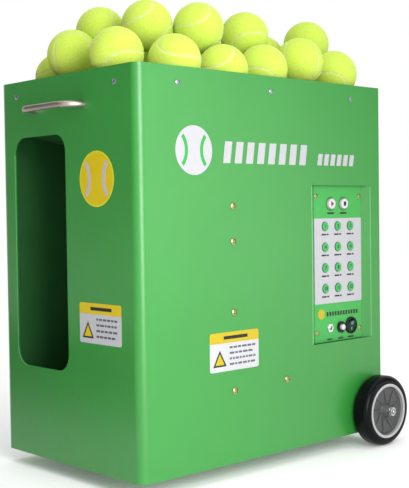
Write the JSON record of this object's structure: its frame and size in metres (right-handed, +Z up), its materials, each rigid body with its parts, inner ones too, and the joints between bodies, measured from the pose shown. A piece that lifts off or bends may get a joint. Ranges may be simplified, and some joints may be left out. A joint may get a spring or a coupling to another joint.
{
  "type": "tennis ball machine",
  "caption": "Portable tennis ball machine: green sheet-metal cabinet with open ball hopper, two-wheel throwing head, keypad panel, bow handle and rear wheels.",
  "frame": {"origin": "on the ground under the middle of the cabinet, which is also the middle of the whole object's footprint", "axes": "+Z up, -Y the side with the ball outlet and handle, +X the side with the control panel"},
  "size_m": [0.374, 0.5085, 0.615],
  "materials": {
    "green_paint": "satin powder coat",
    "dark_green_paint": "satin powder coat",
    "zinc": "bright zinc plate",
    "yellow_zinc": "yellow zinc plate",
    "nickel": "brushed nickel",
    "steel": "plain turned steel",
    "chrome": "polished",
    "aluminium": "milled",
    "black_rubber": "moulded",
    "tyre_rubber": "glossy moulded",
    "hub_grey": "moulded",
    "urethane": "ground",
    "white_film": "printed film",
    "key_green": "moulded",
    "key_white": "moulded",
    "black_plastic": "moulded",
    "board_green": "solder mask",
    "battery_black": "moulded",
    "nylon": "moulded",
    "felt": "wool felt",
    "brass_gear": "hobbed"
  },
  "bodies": {
    "cabinet": {"outer_shell": "green_paint", "rear_panel": "green_paint", "base_plate": "green_paint", "hopper": "green_paint", "cabinet_screws": "zinc", "frame_bolts": "yellow_zinc", "side_brackets": "steel", "carry_handle": "nickel", "wheel_axle": "steel", "axle_caps": "chrome", "front_feet": "black_rubber", "control_panel": "green_paint", "keypad_overlay": "white_film", "panel_screws": "yellow_zinc", "control_board": "board_green", "charge_jack": "chrome", "breaker_body": "black_plastic", "power_bezel": "black_plastic", "battery": "battery_black", "battery_strap": "steel", "feed_bowl": "green_paint", "feed_gearmotor": "steel", "drop_chute": "green_paint", "kingpin": "steel", "yaw_gearmotor": "steel"},
    "yoke": {"yaw_frame": "dark_green_paint", "yaw_sector": "steel", "feed_tray": "aluminium", "tilt_gearmotor": "steel"},
    "turn_pinion": {"yaw_pinion": "brass_gear"},
    "tilting_head": {"pitch_frame": "dark_green_paint", "pitch_sector": "steel", "throw_motors": "steel"},
    "tilt_pinion": {"pitch_pinion": "brass_gear"},
    "upper_throw_wheel": {"upper_throw_hub": "aluminium", "upper_throw_tyre": "urethane"},
    "lower_throw_wheel": {"lower_throw_hub": "aluminium", "lower_throw_tyre": "urethane"},
    "feed_star": {"feed_rotor": "nylon"},
    "right_road_wheel": {"right_road_tyre": "tyre_rubber", "right_road_hub": "hub_grey"},
    "left_road_wheel": {"left_road_tyre": "tyre_rubber", "left_road_hub": "hub_grey"},
    "ball_load": {"tennis_balls": "felt"},
    "breaker_reset": {"breaker_plunger": "key_white"},
    "power_switch": {"power_rocker": "black_plastic"},
    "start_key": {"start_button": "key_white"},
    "stop_key": {"stop_button": "key_white"},
    "program_key_01": {"key_01": "key_green"},
    "program_key_02": {"key_02": "key_green"},
    "program_key_03": {"key_03": "key_green"},
    "program_key_04": {"key_04": "key_green"},
    "program_key_05": {"key_05": "key_green"},
    "program_key_06": {"key_06": "key_green"},
    "program_key_07": {"key_07": "key_green"},
    "program_key_08": {"key_08": "key_green"},
    "program_key_09": {"key_09": "key_green"},
    "program_key_10": {"key_10": "key_green"},
    "program_key_11": {"key_11": "key_green"},
    "program_key_12": {"key_12": "key_green"}
  },
  "joints": [
    {"name": "turn", "type": "hinge", "parent": "cabinet", "child": "yoke", "pos_m": [-0.0545, -0.125, 0.0555], "axis": [0, 0, 1], "range_deg": [-12, 12]},
    {"name": "turn_pinion_spin", "type": "hinge", "parent": "cabinet", "child": "turn_pinion", "pos_m": [0.01675, -0.125, 0.0605], "axis": [0, 0, 1], "range_deg": [-65, 65]},
    {"name": "tilt", "type": "hinge", "parent": "yoke", "child": "tilting_head", "pos_m": [-0.0545, -0.085, 0.234], "axis": [-1, 0, 0], "range_deg": [0, 40]},
    {"name": "tilt_pinion_spin", "type": "hinge", "parent": "yoke", "child": "tilt_pinion", "pos_m": [0, -0.13786, 0.25324], "axis": [-1, 0, 0], "range_deg": [-161, 1]},
    {"name": "upper_wheel_spin", "type": "hinge", "parent": "tilting_head", "child": "upper_throw_wheel", "pos_m": [-0.0545, -0.085, 0.323], "axis": [-1, 0, 0], "continuous": true},
    {"name": "lower_wheel_spin", "type": "hinge", "parent": "tilting_head", "child": "lower_throw_wheel", "pos_m": [-0.0545, -0.085, 0.145], "axis": [1, 0, 0], "continuous": true},
    {"name": "feed_rotor_spin", "type": "hinge", "parent": "cabinet", "child": "feed_star", "pos_m": [0, 0.1048, 0.3855], "axis": [0, 0, 1], "continuous": true},
    {"name": "right_wheel_roll", "type": "hinge", "parent": "cabinet", "child": "right_road_wheel", "pos_m": [0.161, 0.204, 0.0495], "axis": [1, 0, 0], "continuous": true},
    {"name": "left_wheel_roll", "type": "hinge", "parent": "cabinet", "child": "left_road_wheel", "pos_m": [-0.161, 0.204, 0.0495], "axis": [1, 0, 0], "continuous": true},
    {"name": "ball_lift", "type": "slide", "parent": "cabinet", "child": "ball_load", "axis": [0, 0, 1], "range_m": [0, 0.2]},
    {"name": "breaker_push", "type": "slide", "parent": "cabinet", "child": "breaker_reset", "axis": [-1, 0, 0], "range_m": [0, 0.002], "stiffness_N_per_m": 400},
    {"name": "power_rock", "type": "hinge", "parent": "cabinet", "child": "power_switch", "pos_m": [0.1375, 0.1668, 0.1728], "axis": [0, -1, 0], "range_deg": [0, 20]},
    {"name": "start_push", "type": "slide", "parent": "cabinet", "child": "start_key", "axis": [-1, 0, 0], "range_m": [0, 0.0015], "stiffness_N_per_m": 400},
    {"name": "stop_push", "type": "slide", "parent": "cabinet", "child": "stop_key", "axis": [-1, 0, 0], "range_m": [0, 0.0015], "stiffness_N_per_m": 400},
    {"name": "program_01_push", "type": "slide", "parent": "cabinet", "child": "program_key_01", "axis": [-1, 0, 0], "range_m": [0, 0.0008], "stiffness_N_per_m": 400},
    {"name": "program_02_push", "type": "slide", "parent": "cabinet", "child": "program_key_02", "axis": [-1, 0, 0], "range_m": [0, 0.0008], "stiffness_N_per_m": 400},
    {"name": "program_03_push", "type": "slide", "parent": "cabinet", "child": "program_key_03", "axis": [-1, 0, 0], "range_m": [0, 0.0008], "stiffness_N_per_m": 400},
    {"name": "program_04_push", "type": "slide", "parent": "cabinet", "child": "program_key_04", "axis": [-1, 0, 0], "range_m": [0, 0.0008], "stiffness_N_per_m": 400},
    {"name": "program_05_push", "type": "slide", "parent": "cabinet", "child": "program_key_05", "axis": [-1, 0, 0], "range_m": [0, 0.0008], "stiffness_N_per_m": 400},
    {"name": "program_06_push", "type": "slide", "parent": "cabinet", "child": "program_key_06", "axis": [-1, 0, 0], "range_m": [0, 0.0008], "stiffness_N_per_m": 400},
    {"name": "program_07_push", "type": "slide", "parent": "cabinet", "child": "program_key_07", "axis": [-1, 0, 0], "range_m": [0, 0.0008], "stiffness_N_per_m": 400},
    {"name": "program_08_push", "type": "slide", "parent": "cabinet", "child": "program_key_08", "axis": [-1, 0, 0], "range_m": [0, 0.0008], "stiffness_N_per_m": 400},
    {"name": "program_09_push", "type": "slide", "parent": "cabinet", "child": "program_key_09", "axis": [-1, 0, 0], "range_m": [0, 0.0008], "stiffness_N_per_m": 400},
    {"name": "program_10_push", "type": "slide", "parent": "cabinet", "child": "program_key_10", "axis": [-1, 0, 0], "range_m": [0, 0.0008], "stiffness_N_per_m": 400},
    {"name": "program_11_push", "type": "slide", "parent": "cabinet", "child": "program_key_11", "axis": [-1, 0, 0], "range_m": [0, 0.0008], "stiffness_N_per_m": 400},
    {"name": "program_12_push", "type": "slide", "parent": "cabinet", "child": "program_key_12", "axis": [-1, 0, 0], "range_m": [0, 0.0008], "stiffness_N_per_m": 400}
  ],
  "couplings": [
    {"joint": "turn_pinion_spin", "follows": "turn", "ratio": -5.3333},
    {"joint": "tilt_pinion_spin", "follows": "tilt", "ratio": -4}
  ]
}
